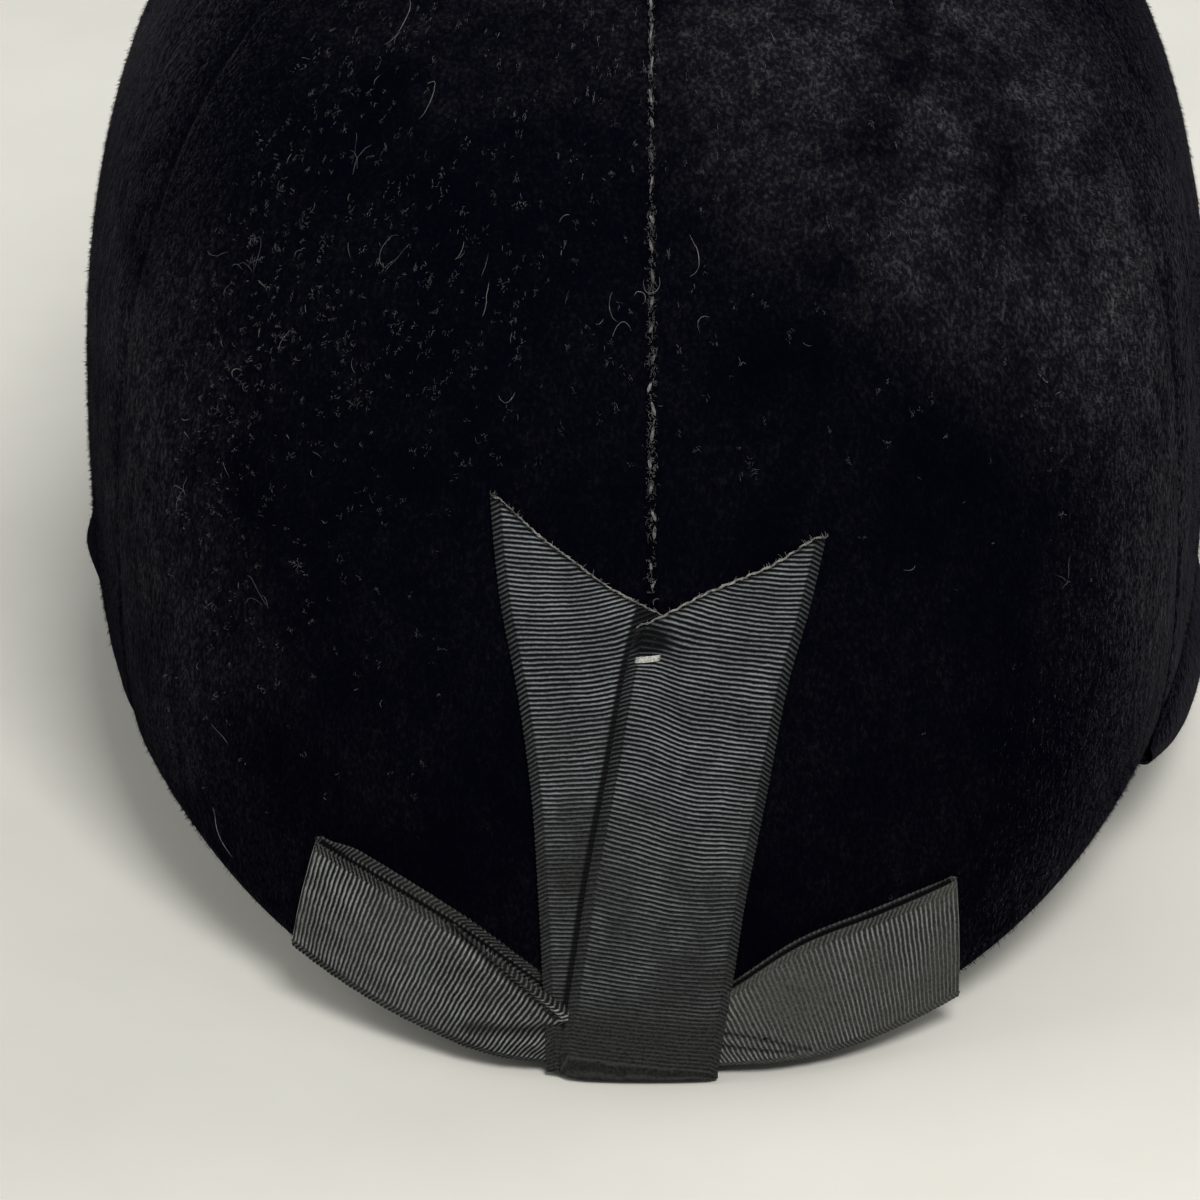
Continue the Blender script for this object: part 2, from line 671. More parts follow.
def smooth_through(points, count):
    """Places evenly along a smooth line that passes through every given point.

    This is a Catmull-Rom spline. Each place is mixed from the four points round it in three rounds.
    """
    points = np.asarray(points, dtype=float)
    ends = [2 * points[0] - points[1], *points, 2 * points[-1] - points[-2]]
    steps = [np.linalg.norm(b - a) ** 0.5 + 1e-9 for a, b in zip(ends, ends[1:])]
    knots = np.concatenate([[0], np.cumsum(steps)])
    result = []
    for value in np.linspace(knots[1], knots[-2], count):
        at = min(max(np.searchsorted(knots, value) - 1, 1), len(points) - 1)
        near, time = ends[at - 1 : at + 3], knots[at - 1 : at + 3]
        for spans in (((0, 1), (1, 2), (2, 3)), ((0, 2), (1, 3)), ((1, 2),)):
            near = [
                (time[b] - value) / (time[b] - time[a]) * near[i]
                + (value - time[a]) / (time[b] - time[a]) * near[i + 1]
                for i, (a, b) in enumerate(spans)
            ]
        result.append(near[0])
    return np.array(result)


def peak_section(turn_front, reach, height):
    """The top line of one section, as distance from the axis and height, and its turn."""
    turn = math.radians(180 - turn_front)
    root = np.array([float(oval(turn, **RIM)), float(rim_height(turn)) - 0.3])
    tip = np.array([root[0] + max(0, reach), max(0, height)])
    run = tip - root
    square = np.array([-run[1], run[0]]) / np.hypot(*run)
    tip[1] += PEAK["lip"] * max(0, square[1])
    crest = (root + tip) / 2 + square * PEAK["bulge"] * 2 * np.hypot(*(tip - root))
    return turn, root, crest, tip


def on_arc(section, share):
    """A place along a section, the direction square to it and the one along it."""
    turn, root, crest, tip = section
    place = (1 - share) ** 2 * root + 2 * share * (1 - share) * crest + share**2 * tip
    slope = unit(2 * (1 - share) * (crest - root) + 2 * share * (tip - crest))
    return place, np.array([-slope[1], slope[0]]), slope


def peak_profile(section):
    """The velvet's way over the board: along the top, round the edge and a little way under."""
    turn, root, crest, tip = section
    thick = PEAK["lip"] / 2
    edge_share = 1 - min(0.6, thick / max(np.hypot(*(tip - root)), 1e-6))
    profile = [root + np.array(step) for step in PEAK_TUCK]
    for share in np.linspace(0, edge_share, PEAK["rows"])[1:]:
        place, square, slope = on_arc(section, share)
        profile.append(place - square * 0.2 * (1 - share))
    middle, square, slope = on_arc(section, edge_share)
    middle = middle - square * thick
    for angle in np.linspace(0, np.pi, 12)[1:]:
        profile.append(middle + square * thick * math.cos(angle) + slope * thick * math.sin(angle))
    for share, under in PEAK_UNDERSIDE:
        place, square, slope = on_arc(section, max(0, edge_share - share))
        profile.append(place - square * under)
    return profile


def peak_surface(profiles, lowest):
    """The sections' profiles set round the hat as one grid, never under the lowest height."""
    grid = [
        ring_point(section[0], np.array(profile)[:, 0], np.maximum(np.array(profile)[:, 1], lowest))
        for section, profile in zip(peak_sections, profiles)
    ]
    return np.array(grid).transpose(1, 0, 2)


peak_sections = [peak_section(*row) for row in smooth_through(PEAK_EDGE, PEAK["columns"])]
peak_grid = peak_surface([peak_profile(section) for section in peak_sections], 0.05)
peak_grid[..., 2] = np.maximum(peak_grid[..., 2] + 0.12 * unevenness(peak_grid, 14), 0.05)
make_piece("velvet_peak", peak_grid, grid_faces(*peak_grid.shape[:2]), ground_finish, ["peak"])
place, way, down = scatter_on(peak_grid[2 : PEAK["rows"] + 8], PEAK["fibres"])
pile_piece("pile_peak", pile_points(place, way, -down, PEAK["pile"], PILE["width"], PILE["lean"]))
print("peak is", round(float(np.ptp(peak_grid[..., 0]))), "mm across its ends")

# %% [markdown]
# ## The peak's lining
#
# Under the peak is a smooth black leather cloth, glued to the board and tucked beneath the velvet's
# edge. It shows from below and as a sliver at the ears. It is a plain thin sheet, so its finish
# does the work: a fine pebble, with a duller tone where it is rubbed.

# %% Lining
LINING = {"end": 0.93, "rows": 18, "depth": 2.8, "tucked": 0.7, "breadth": 58.0}
lining_finish, tree, shader = new_finish("leather cloth", (0.010, 0.010, 0.0095), 0.46,
                                         Specular_IOR_Level=0.45)
pebble = add_node(tree, "ShaderNodeTexVoronoi", Vector=object_place(tree), Scale=1 / (0.55 * MILLIMETRE))
worn = ramp(tree, grain(tree, 12, 4), [(0.35, (0.008, 0.008, 0.0078)), (0.7, (0.021, 0.021, 0.019))])
join(tree, worn, shader.inputs["Base Color"])
bumps(tree, shader, pebble.outputs["Distance"], 0.06, 0.5)

lining_profiles = []
for section in peak_sections:
    profile = [section[1] + np.array((-3.2, 0.9))]
    for share in np.linspace(0.01, LINING["end"], LINING["rows"]):
        place, square, slope = on_arc(section, share)
        tucked = LINING["tucked"] * min(1, (LINING["end"] - share) / 0.05)
        profile.append(place - square * (LINING["depth"] + tucked))
    lining_profiles.append(profile)
grid = peak_surface(lining_profiles, 0.1)
lining = make_piece("peak_lining_sheet", grid, grid_faces(*grid.shape[:2])[:, ::-1], lining_finish,
                    ["peak_lining"])
area, length = patch_area(grid).sum(), line_length(grid[LINING["rows"] // 2])
print("lining cut about", round(length), "by", LINING["breadth"], "mm")

# %% [markdown]
# ## Places on the back of the hat
#
# The bow is measured as a maker would measure it: how far across from the centre back, along the
# cloth, and how high above the rim. A table of distances round the oval turns the first into an
# angle, and a small lift stands the ribbon off the velvet.

# %% Bow coordinates
ARC_TURNS = np.radians(np.linspace(0, 90, 241))
arc_places = ring_point(ARC_TURNS, oval(ARC_TURNS, **CROWN), np.zeros_like(ARC_TURNS))
ARC_LENGTHS = np.concatenate([[0], np.cumsum(np.linalg.norm(np.diff(arc_places, axis=0), axis=1))])


def turn_across(across):
    return np.sign(across) * np.interp(np.abs(across), ARC_LENGTHS, ARC_TURNS)


def on_back(across, height, lift=0.0):
    """A place on the back of the hat, stood off the velvet by lift."""
    turn = turn_across(across)
    high = np.maximum(height, rim_height(turn) + 0.3)
    way = outward(crown_at_height, turn, high, 0.05)
    place = crown_at_height(turn, high)
    place[..., 2] = np.where(height < high, height, place[..., 2])
    return place + way * np.asarray(lift)[..., None]


def cloth_scale(flat):
    """How long one unit across and one unit up really are on the cloth."""
    step, (across, height) = 0.2, (flat[:, 0], flat[:, 1])
    wide = on_back(across + step, height) - on_back(across - step, height)
    tall = on_back(across, height + step) - on_back(across, height - step)
    return np.linalg.norm([wide, tall], axis=-1).T / (2 * step)


def length_along(flat):
    """How far along the cloth each place of a line is."""
    real = np.diff(flat, axis=0) * cloth_scale(flat)[:-1]
    return np.concatenate([[0], np.cumsum(np.linalg.norm(real, axis=1))])


print("a quarter of the rim is", round(float(ARC_LENGTHS[-1])), "mm long")

# %% [markdown]
# ## Ribbed ribbon
#
# The bow is grosgrain, a ribbon 25 mm wide. Thick cords run across it every 0.78 mm and fine silky
# threads cover them, so it is all ribs. At both edges the cords turn back, which makes a narrow
# zigzag. A bump map would give the ribs, but the ribbon is the nearest thing to the eye, so they
# are real: the mesh has seven rows to every rib.
#
# The finish adds what is finer than the mesh: the threads over each rib, and the grey bloom of an
# old ribbon.

# %% Ribbon finish
RIBBON_WIDTH, RIB_PITCH, RIB_HEIGHT, RIB_ROWS = 25.0, 0.78, 0.32, 7
MAP_SCALE = 20 * MILLIMETRE
EDGE_REACH = 4.0
EDGE_BAND = [(0.0, 0.20), (0.30, 0.34), (0.36, 0.22), (0.42, 0.85), (0.47, 1.0)]
GROOVE, UNDER_FOLD = (0.0008, 0.0010, 0.0014), (0.0008, 0.0009, 0.0016)


def cloth_map(tree, title):
    """The two numbers that a piece carries for each of its points under this title."""
    place = add_node(tree, "ShaderNodeUVMap", {"uv_map": title})
    parts = add_node(tree, "ShaderNodeSeparateXYZ", Vector=place.outputs["UV"]).outputs
    return Sum(tree, parts["X"]), Sum(tree, parts["Y"])


def mixed(tree, share, first, second):
    """Go from the first colour to the second as the share goes from 0 to 1."""
    node = add_node(tree, "ShaderNodeMix", {"data_type": "RGBA"})
    for place, value in ((0, share), (6, first), (7, second)):
        join(tree, value, node.inputs[place])
    return Sum(tree, node.outputs[2])


def grosgrain(name, top, worn_dark, worn_light):
    """Ribbed ribbon: the colour on top of the ribs, and two where they are rubbed away."""
    finish, tree, shader = new_finish(name, worn_dark, 0.5, Specular_IOR_Level=0.08, Sheen_Weight=0.02)
    across, along = cloth_map(tree, "cloth")
    strength, gap = cloth_map(tree, "wear")
    turns = along * (math.pi / (RIB_PITCH * MAP_SCALE))
    wobble = (grain(tree, 1.3, 2) - 0.5) * 1.1
    crest = maths(tree, "ABSOLUTE", maths(tree, "COSINE", turns + wobble))
    crest = maths(tree, "POWER", crest, 5.5)

    half_width = RIBBON_WIDTH * MAP_SCALE / 2
    inset = half_width - maths(tree, "ABSOLUTE", across - half_width)
    inset = maths(tree, "DIVIDE", inset, EDGE_REACH * MAP_SCALE)
    edge_band = ramp(tree, inset, [(share, (tone, tone, tone)) for share, tone in EDGE_BAND])
    bloom = spread(tree, grain(tree, 7, 4), 0.30, 0.70)
    fleck = spread(tree, grain(tree, 0.45, 2), 0.30, 0.70)
    silk = (bloom * 0.42 + fleck * 0.30 + 0.42) * crest * edge_band
    ribbed = ramp(tree, silk, [(0.0, GROOVE), (1.0, top)])

    rubbed = ramp(tree, fleck * 0.5 + crest * 0.5, [(0.0, worn_dark), (1.0, worn_light)])
    patches = (spread(tree, grain(tree, 11, 3), 0.32, 0.68) - 0.5) * (1.0 - strength)
    color = mixed(tree, strength * (patches * 2.2 + 1.0), rubbed, ribbed)
    shadow = spread(tree, gap, 1.25, 1.75, 0.96, 0.0, "LINEAR")
    join(tree, mixed(tree, shadow, color, UNDER_FOLD), shader.inputs["Base Color"])
    join(tree, 0.86 - crest * 0.42, shader.inputs["Roughness"])
    bumps(tree, shader, fleck, 0.04, 0.5)
    return finish


tail_finish = grosgrain("grosgrain tails", (0.205, 0.222, 0.233), (0.005, 0.0055, 0.0055),
                        (0.034, 0.036, 0.034))
loop_finish = grosgrain("grosgrain loops", (0.31, 0.325, 0.32), (0.022, 0.0225, 0.0205),
                        (0.082, 0.083, 0.077))
print("ribs in 100 mm of ribbon:", round(100 / RIB_PITCH))

# %% [markdown]
# ## The two tails
#
# The ends of the ribbon point up, one over the other, and spread into a V. Each is described by its
# outer edge alone: the ribbon's width does the rest, laid off square to that edge on the curved
# back. That keeps the ribs square to the ribbon, as they are on any ribbon, so they slope one way
# on the left tail and the other way on the right.
#
# The columns of the grid crowd together at both edges, because the zigzag there is only 1.4 mm
# wide. The ribbon was cut off aslant, so the grid is trimmed along the cut.

# %% Tail tables
TAILS = {
    "left": {
        "side": 1,
        "edge": [(16.4, 2.4), (16.8, 18.0), (17.4, 32.5), (18.6, 51.3), (21.2, 68.3), (25.0, 83.9),
                 (28.6, 103.0)],
        "cut": [(-8.0, 78.5), (0.2, 82.1), (7.2, 85.4), (13.6, 89.5), (18.8, 92.6), (26.0, 97.8),
                (29.5, 99.0)],
    },
    "right": {
        "side": -1,
        "edge": [(-10.8, 2.4), (-13.1, 20.0), (-15.0, 34.6), (-18.0, 51.3), (-21.8, 69.7),
                 (-25.9, 81.6), (-31.0, 97.0)],
        "cut": [(-32.0, 91.8), (-29.0, 92.1), (-27.2, 91.9), (-19.7, 88.2), (-9.1, 84.6), (0.2, 80.4),
                (3.0, 79.3), (6.0, 78.0)],
    },
}
EDGE_COLUMNS = np.array([0, 0.35, 0.7, 1.05, 1.4, 1.8, 2.3, 3.2, 4.2, 5.3, 6.5, 7.7, 8.9, 10.1, 11.3])
ACROSS_RIBBON = np.concatenate([EDGE_COLUMNS, [12.5], RIBBON_WIDTH - EDGE_COLUMNS[::-1]])
TAIL_COLUMNS = len(ACROSS_RIBBON)
RIM_WRAP = [(-6.3, 8.0), (-6.3, 4.0), (-6.1, 1.6), (-5.2, 0.45), (-3.6, 0.12), (-1.4, 0.12)]
RIM_WRAP += [(-0.2, 0.35), (0.25, 0.95)]


def rounded_off(line, reach, **ends):
    """A line of numbers in which each is the mean of those around it."""
    share = np.ones(2 * reach + 1) / (2 * reach + 1)
    return np.convolve(np.pad(line, reach, **ends), share, mode="valid")


def ease(value, start, end):
    """A smooth step from 0 at start to 1 at end."""
    share = np.clip((value - start) / (end - start), 0, 1)
    return share * share * (3 - 2 * share)


def tail_places(tail):
    """Across and height of every point of the flat tail on the curved back, and the length along."""
    fine = smooth_through(tail["edge"], 400)
    length = length_along(fine)
    along = np.linspace(0, length[-1], int(length[-1] / RIB_PITCH * RIB_ROWS))
    outer = np.stack([np.interp(along, length, fine[:, axis]) for axis in (0, 1)], axis=1)
    slope = np.gradient(outer, along, axis=0) * cloth_scale(outer)
    slope = unit(np.stack([rounded_off(slope[:, axis], 15, mode="edge") for axis in (0, 1)], axis=1))
    square = np.stack([-slope[:, 1], slope[:, 0]], axis=1) * tail["side"]
    columns = [outer]
    for step in np.diff(ACROSS_RIBBON):
        columns.append(columns[-1] + square * step / cloth_scale(columns[-1]))
    return np.stack(columns, axis=1), along


# %% [markdown]
# The stitch through both tails pulls the cloth, so the ribs don't run straight across. Those of the
# left tail are level at first and then rise to the stitch. Those of the right tail drop steeply
# beside it. This is a slip along the ribbon: a table says how far each part of the width has
# slipped at a few heights, and every point is moved that far along its own column.

# %% Slip of the ribs
SLIP_SHARES = [0, 0.2, 0.4, 0.5, 0.6, 0.7, 0.8, 0.9, 1.0]
SLIPS = {
    # height: slip in mm at each share of the width, counted from the outer edge
    "left": {
        12: [0, 0, 0, 0, 0, 0, 0, 0, 0],
        45: [0, 0.1, 0.2, 0.25, 0.25, 0.2, 0.2, 0.2, 0.2],
        53: [0, -0.2, -0.3, -0.3, -0.2, -0.1, 0, 0, 0],
        59: [0, -0.1, -0.15, -0.1, 0, 0, 0, 0, 0],
        66: [0, -0.35, -0.56, -0.55, -0.4, -0.2, 0, 0, 0],
        72: [0, -0.77, -1.34, -1.46, -1.34, -1.1, -0.8, -0.6, -0.5],
        78: [0, -1.12, -2.06, -2.36, -2.53, -2.48, -2.2, -1.8, -1.5],
    },
    "right": {
        12: [0, 0, 0, 0, 0, 0, 0, 0, 0],
        37: [0, -0.4, -0.5, -0.35, 0, 0.25, 0.48, 0.75, 1.0],
        45: [0, -0.03, -0.1, 0.05, 0.35, 0.75, 1.05, 1.25, 1.5],
        53: [0, -0.03, -0.1, -0.02, 0.38, 0.83, 1.15, 1.28, 1.28],
        59: [0, 0.03, 0.08, 0.18, 0.5, 1.1, 1.55, 1.65, 1.45],
        66: [0, -0.2, -0.15, -0.13, 0.1, 0.75, 1.35, 1.37, 1.08],
        72: [0, -0.55, -0.95, -1.02, -0.97, -0.65, -0.1, -0.1, -0.6],
        78: [0, -1.2, -2.0, -2.3, -2.5, -2.6, -2.5, -2.7, -2.9],
    },
}


def each_column(values, per_column):
    """The values of each column, worked out one column at a time and set side by side."""
    return np.stack([per_column(column, values[:, column]) for column in range(TAIL_COLUMNS)], axis=1)


def slip_of(name, height):
    """The slip of every row and column, with the table's corners rounded off.

    Half the slip of the middle is taken off everywhere, so that the ribs stay about as far apart.
    """
    fine, lines = np.linspace(0, 1, 101), []
    for level, slips in SLIPS[name].items():
        line = rounded_off(np.interp(fine, SLIP_SHARES, slips), 5, mode="reflect", reflect_type="odd")
        lines.append(np.interp(ACROSS_RIBBON / RIBBON_WIDTH, fine, line))
    lines = np.array(lines)
    lines = lines - 0.5 * lines[:, [TAIL_COLUMNS // 2]]
    return each_column(height, lambda column, up: np.interp(up, list(SLIPS[name]), lines[:, column]))


def slipped(places, along, shift):
    """Every point moved by its slip along its own column."""

    def moved(column, line):
        source = along + shift[:, column]
        return np.stack([np.interp(source, along, line[:, axis]) for axis in (0, 1)], axis=1)

    return each_column(places, moved)


def above_cut(flat, cut):
    """How far above the slanting cut each place is."""
    return flat[..., 1] - np.interp(flat[..., 0], *np.array(cut).T)


def trim(places, cut):
    """Squeeze the rows past the slanting cut on to the cut itself."""
    over = above_cut(places, cut)

    def trimmed(column, line):
        past = over[:, column]
        row = int(np.argmax(past > 0))
        if row > 0:
            share = past[row - 1] / (past[row - 1] - past[row])
            edge = line[row - 1] * (1 - share) + line[row] * share
            line = np.concatenate([line[:row], np.tile(edge, (len(line) - row, 1))])
        return line

    return each_column(places, trimmed)


# %% [markdown]
# Each rib is a rounded cord with a sharp groove beside it. A cosine without its sign has just that
# section. At the edges the cords turn back, so the ribs shift by about one rib over the last
# 1.4 mm. At the foot of the bow the ribbon is stretched flat round the rim and its ribs are rubbed
# away.

# %% Ribs
SELVEDGE, RIBBON_THICKNESS = 1.4, 0.4


def rib_phase(along):
    """Which rib, counted along the ribbon, each row and column stands on."""
    inset = np.minimum(ACROSS_RIBBON, RIBBON_WIDTH - ACROSS_RIBBON)
    turn_back = 1.1 * np.clip(1 - inset / SELVEDGE, 0, 1)
    wander = 0.05 * np.sin(ACROSS_RIBBON[None, :] * 0.9 + along[:, None] * 0.35)
    return along[:, None] / RIB_PITCH + turn_back[None, :] + wander


def rib_relief(along):
    """The ribs' height for every row and column of a ribbon."""
    rib = np.abs(np.cos(np.pi * rib_phase(along)))
    uneven = 1 + 0.2 * np.sin(along[:, None] * 1.7 + 2 * np.sin(ACROSS_RIBBON[None, :] * 0.7))
    return RIB_HEIGHT * rib * uneven


def point_map(first, second):
    """Two numbers for every point, also for the points that are added under both long edges."""
    both = np.stack(np.broadcast_arrays(first, second), axis=-1)
    return np.pad(both, ((0, 0), (1, 1), (0, 0)), mode="edge").reshape(-1, 2)


def ribbon_map(along):
    """Flat coordinates of the cloth that follow the ribs."""
    return point_map(ACROSS_RIBBON[None, :], rib_phase(along) * RIB_PITCH) * MAP_SCALE


def wear_map(strength, gap):
    """How far the ribs stand out at each point, and how far it is from a dark fold, in mm."""
    return point_map(np.clip(strength, 0, 1), gap)


def with_edges(grid, inwards):
    """Add a row of points under both long edges, so that the ribbon looks as thick as it is."""
    first = grid[:, :1] - inwards[:, :1] * RIBBON_THICKNESS
    last = grid[:, -1:] - inwards[:, -1:] * RIBBON_THICKNESS
    return np.concatenate([first, grid, last], axis=1)


def grid_normals(grid):
    """The direction out of a grid at each of its points, away from the hat's middle."""
    normal = unit(np.cross(np.gradient(grid, axis=1), np.gradient(grid, axis=0)))
    outwards = (normal * (grid - HAT_MIDDLE)).sum(axis=-1, keepdims=True)
    return normal * np.where(outwards < 0, -1, 1)


# %% [markdown]
# The stitch also dents the cloth: a hollow above it and a small puff below. The right tail lies on
# the left one and steps down past its hidden edge. Near the rim both tails rise over the loops.

# %% Dents and lifts
DENTS = [
    # across, height, radius, depth
    (0.2, 77.6, 2.3, 1.0), (0.2, 71.2, 3.2, -0.55), (4.4, 73.0, 1.6, 0.35),
]
LIFT_ALONE, LIFT_OVER = 0.7, 1.5


def dented(flat):
    """How deep the stitch pulls the cloth in."""
    drop = np.zeros(flat.shape[:-1])
    for across, height, radius, depth in DENTS:
        apart = np.hypot(flat[..., 0] - across, flat[..., 1] - height)
        drop += depth * np.exp(-((apart / radius) ** 2))
    return drop


def over_loops(flat):
    return 0.95 * (1 - ease(flat[..., 1], 12, 34))


def flat_tail(name):
    """The tail with its ribs slipped and its end cut, its inner edge before the cut, its length."""
    places, along = tail_places(TAILS[name])
    inner = places[:, -1]
    places = trim(slipped(places, along, slip_of(name, places[..., 1])), TAILS[name]["cut"])
    return places, inner, along


def past_line(flat, line):
    """How far beyond an edge each place is, measured straight across."""
    line = line[np.argsort(line[:, 1])]
    return flat[..., 0] - np.interp(flat[..., 1], line[:, 1], line[:, 0])


left_flat, _, left_along = flat_tail("left")
right_flat, right_inner, right_along = flat_tail("right")


def left_lift_at(flat):
    return LIFT_ALONE + over_loops(flat) - 0.35 * dented(flat)


def right_lift_at(flat):
    """The right tail steps down past the left one's edge, and its own inner edge curls down."""
    past = ease(-past_line(flat, left_flat[:, -1]), 0.0, 5.0)
    curled = 0.65 * ease(past_line(flat, right_inner), -1.7, 0.1)
    return LIFT_OVER - (LIFT_OVER - LIFT_ALONE) * past + over_loops(flat) - dented(flat) - curled


def shade_of_cut(flat, name):
    return np.maximum(-above_cut(flat, TAILS[name]["cut"]), 0) * 0.8 + 1.1


def left_wear(flat):
    past_edge = past_line(flat, right_inner) + 0.5 + 3 * ease(flat[..., 1], 12, 6)
    return 0.24 + 0.76 * ease(flat[..., 1], 38, 74), np.minimum(past_edge, shade_of_cut(flat, "left"))


def right_wear(flat):
    apart = np.hypot((flat[..., 0] - 0.2) / 2.7, (flat[..., 1] - 77.6) / 1.75)
    gap = np.minimum(0.85 + apart * 0.45, shade_of_cut(flat, "right"))
    return 0.30 + 0.70 * ease(flat[..., 1], 24, 62), gap


print("right tail stands off the velvet by up to", LIFT_OVER, "mm")

# %% [markdown]
# Each tail is now one grid: the rows that take its foot in under the rim, and then its own rows up
# the back, each raised by its lift and its rib.

# %% Build the tails
RIM_TURN, SMALLEST_EDGE = 2.5, 1e-4


def rim_wrap(flat, stand_off):
    """The rows that take a tail's foot in under the rim."""
    turn, rows = turn_across(flat[:, 0]), []
    for out, up in RIM_WRAP:
        radius = oval(turn, **RIM) + out + stand_off * max(0, 1 + out / 3)
        rows.append(ring_point(turn, radius, rim_height(turn) + up))
    return np.array(rows)


def build_tail(name, flat, along, lift_at, wear_at):
    """Make one tail. The rows past the cut lie on each other, so their faces are left out."""
    pressed = 0.06 + 0.94 * ease(flat[..., 1], 10, 20)
    strength, gap = wear_at(flat)
    lift = lift_at(flat) + rib_relief(along) * pressed
    start = int(np.argmax(flat[:, TAIL_COLUMNS // 2, 1] > RIM_TURN))
    wrap = rim_wrap(flat[start], lift_at(flat[start]))
    grid = np.concatenate([wrap, on_back(flat[..., 0], flat[..., 1], lift)[start:]])
    grid = with_edges(grid, grid_normals(grid))
    faces, points = grid_faces(*grid.shape[:2]), grid.reshape(-1, 3)
    edges = np.linalg.norm(points[faces] - points[np.roll(faces, 1, axis=1)], axis=2)
    faces = faces[(edges > SMALLEST_EDGE).sum(axis=1) >= 3]
    if TAILS[name]["side"] > 0:
        faces = faces[:, ::-1]
    strip = np.concatenate([np.linspace(-14, -1, len(wrap)) + along[start], along[start:]])
    rows = np.maximum(np.arange(len(strip)) - len(wrap) + start, start)
    maps = {"cloth": ribbon_map(strip), "wear": wear_map((strength * pressed)[rows], gap[rows])}
    piece = make_piece(f"ribbon_tail_{name}", points, faces, tail_finish, [f"bow_tail_{name}"],
                       maps=maps)
    return lift


left_lift = build_tail("left", left_flat, left_along, left_lift_at, left_wear)
right_lift = build_tail("right", right_flat, right_along, right_lift_at, right_wear)

# %% [markdown]
# ## The two loops
#
# Beside the tails the ribbon goes out along the rim, folds at the end and comes back over itself,
# pressed flat. The grid follows it all the way: out on the velvet, round the fold, and back on top.
# The upper run sits a little lower than the run beneath, so a strip of that one peeps out above it.
# Both runs flatten where they go in under the tails.
#
# Creases are short lines. The cloth dips along each, and stands up a little on both sides.

# %% Loop tables
LOOPS = {
    "left": {
        "low": [(12.0, 2.3), (24.0, 3.6), (36.5, 6.7), (49.0, 10.7), (61.0, 14.9)],
        "high": [(4.0, 6.5), (16.5, 17.2), (29.0, 26.6), (41.5, 32.9), (54.2, 37.3)],
        "peep": 1.9,
        "strength": 0.8,
        "creases": [
            # start, end, depth, width, how steeply the ribs lean above it
            ((31.1, 27.4), (15.0, 12.4), 0.6, 0.8, 0.65),
            ((29.0, 8.2), (14.0, 10.0), 0.4, 1.5, 0.0),
        ],
        "worn": [],
    },
    "right": {
        "low": [(-7.5, 2.0), (-18.0, 2.8), (-30.0, 3.5), (-41.0, 5.6), (-52.0, 8.0)],
        "high": [(-1.0, 9.0), (-12.5, 17.4), (-24.0, 25.2), (-37.0, 28.9), (-49.3, 31.6)],
        "peep": 0.35,
        "strength": 0.34,
        "creases": [
            ((-9.0, 9.6), (-18.5, 7.6), 0.4, 0.5, 0.0),
            ((-18.5, 7.6), (-25.6, 4.6), 0.3, 0.5, 0.0),
            ((-9.0, 6.9), (-23.0, 4.6), 0.35, 0.5, 0.0),
        ],
        "worn": [((-22.0, 15.0), 8.0, 0.95)],
    },
}
FOLD_RADIUS, LOOP_LIFT, TUCKED_LIFT, RUNS_APART = 0.7, 0.5, 0.25, 0.45
LOOP_STEPS, NO_FOLD_NEAR = 220, 9.0


def distance_to(flat, start, end):
    """Distance of places from a short straight line."""
    run = np.array(end) - start
    share = np.clip((flat - start) @ run / (run @ run), 0, 1)
    return np.linalg.norm(flat - start - share[..., None] * run, axis=-1)


def loop_places(loop):
    """Across and height of one run of the loop, and the length along it."""
    low, high = (smooth_through(loop[edge], LOOP_STEPS) for edge in ("low", "high"))
    share = (ACROSS_RIBBON / RIBBON_WIDTH)[None, :, None]
    flat = low[:, None] * (1 - share) + high[:, None] * share
    length = length_along(flat[:, TAIL_COLUMNS // 2])
    along = np.linspace(0, length[-1], int(length[-1] / RIB_PITCH * RIB_ROWS))
    source = np.interp(along, length, np.arange(LOOP_STEPS))
    whole = np.minimum(source.astype(int), LOOP_STEPS - 2)
    part = (source - whole)[:, None, None]
    return flat[whole] * (1 - part) + flat[whole + 1] * part, along


def leaning(loop, flat, along):
    """Slip the ribs above a crease, so that they lean as the pulled cloth does there."""
    for start, end, depth, width, lean in loop["creases"]:
        run = np.array(end) - start
        rise = ((flat[..., 1] - start[1]) * run[0] - (flat[..., 0] - start[0]) * run[1]) / np.hypot(*run)
        near_fold = ease(flat[..., 0], start[0] + 3, start[0] - 3)
        flat = slipped(flat, along, -lean * np.clip(-rise, 0, 12) * near_fold)
    return flat


def creased(loop, flat):
    """How far the creases move the cloth out, and how near each place is to a dark fold."""
    out, gap = 0.0, NO_FOLD_NEAR
    for start, end, depth, width, lean in loop["creases"]:
        apart = distance_to(flat, start, end) / width
        out = out + depth * (0.7 * np.exp(-((apart - 1.7) ** 2)) - np.exp(-(apart**2)))
        gap = np.minimum(gap, apart * 0.35 + 1.35)
    return out, gap


def loop_strength(loop, flat):
    """How far the ribs stand out: less where the ribbon is worn."""
    strength = np.full(flat.shape[:-1], loop["strength"])
    for middle, radius, loss in loop["worn"]:
        apart = np.linalg.norm(flat - middle, axis=-1)
        strength = strength * (1 - loss * np.exp(-((apart / radius) ** 2)))
    return strength


print("creases drawn:", sum(len(loop["creases"]) for loop in LOOPS.values()))

# %% [markdown]
# Each loop is one grid too. The run behind comes first, then the rows round the fold, and then the
# run in front, backwards. The strip along the ribbon is counted the same way, so the ribs carry on
# round the fold.

# %% Build the loops


